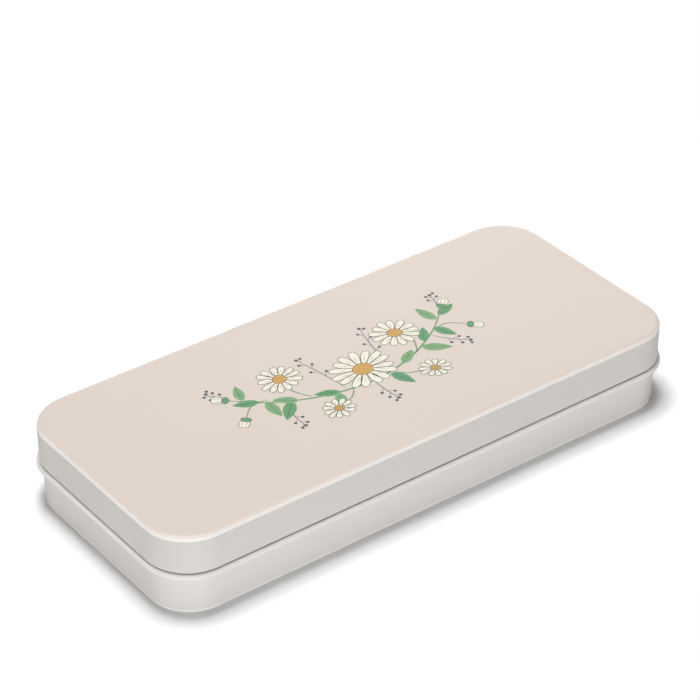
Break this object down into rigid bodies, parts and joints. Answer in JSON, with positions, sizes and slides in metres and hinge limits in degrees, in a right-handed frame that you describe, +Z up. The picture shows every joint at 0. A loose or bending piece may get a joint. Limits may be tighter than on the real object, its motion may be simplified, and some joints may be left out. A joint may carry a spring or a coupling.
{
  "type": "watercolour paint tin",
  "caption": "Flat rounded-corner tinplate box with a hinged lid, a bead around its base, and a tray of round pans of watercolour with a brush inside.",
  "frame": {"origin": "middle of the flat underside, with the lid closed", "axes": "+X along the length, towards the brush's tip; +Y across, towards the hinge; +Z up, out of the lid's top"},
  "size_m": [0.212, 0.094, 0.0306],
  "materials": {
    "enamel_white": "satin off-white enamel on tinplate",
    "enamel_blush": "satin blush enamel on the top, off-white on the wall",
    "hinge_wire": "drawn wire",
    "tray_plastic": "moulded white",
    "pan_plastic": "moulded white",
    "paint_white": "dry pressed watercolour",
    "paint_yellow": "dry pressed watercolour",
    "paint_orange": "dry pressed watercolour",
    "paint_red": "dry pressed watercolour",
    "paint_pink": "dry pressed watercolour",
    "paint_violet": "dry pressed watercolour",
    "paint_blue": "dry pressed watercolour",
    "paint_sky_blue": "dry pressed watercolour",
    "paint_green": "dry pressed watercolour",
    "paint_leaf_green": "dry pressed watercolour",
    "paint_brown": "dry pressed watercolour",
    "paint_black": "dry pressed watercolour",
    "handle_wood": "clear lacquer",
    "ferrule_metal": "crimped, bright",
    "brush_hair": "brown hair"
  },
  "bodies": {
    "base": {"base_shell": "enamel_white", "hinge_pin_left": "hinge_wire", "hinge_pin_right": "hinge_wire", "tray": "tray_plastic", "pan_01": "pan_plastic", "pan_02": "pan_plastic", "pan_03": "pan_plastic", "pan_04": "pan_plastic", "pan_05": "pan_plastic", "pan_06": "pan_plastic", "pan_07": "pan_plastic", "pan_08": "pan_plastic", "pan_09": "pan_plastic", "pan_10": "pan_plastic", "pan_11": "pan_plastic", "pan_12": "pan_plastic", "paint_white": "paint_white", "paint_yellow": "paint_yellow", "paint_orange": "paint_orange", "paint_red": "paint_red", "paint_pink": "paint_pink", "paint_violet": "paint_violet", "paint_blue": "paint_blue", "paint_sky_blue": "paint_sky_blue", "paint_green": "paint_green", "paint_leaf_green": "paint_leaf_green", "paint_brown": "paint_brown", "paint_black": "paint_black", "brush_handle": "handle_wood", "brush_ferrule": "ferrule_metal", "brush_tuft": "brush_hair"},
    "lid": {"lid_shell": "enamel_blush"}
  },
  "joints": [
    {"name": "lid_hinge", "type": "hinge", "parent": "base", "child": "lid", "pos_m": [0, 0.0464, 0.01715], "axis": [-1, 0, 0], "range_deg": [0, 170]}
  ]
}
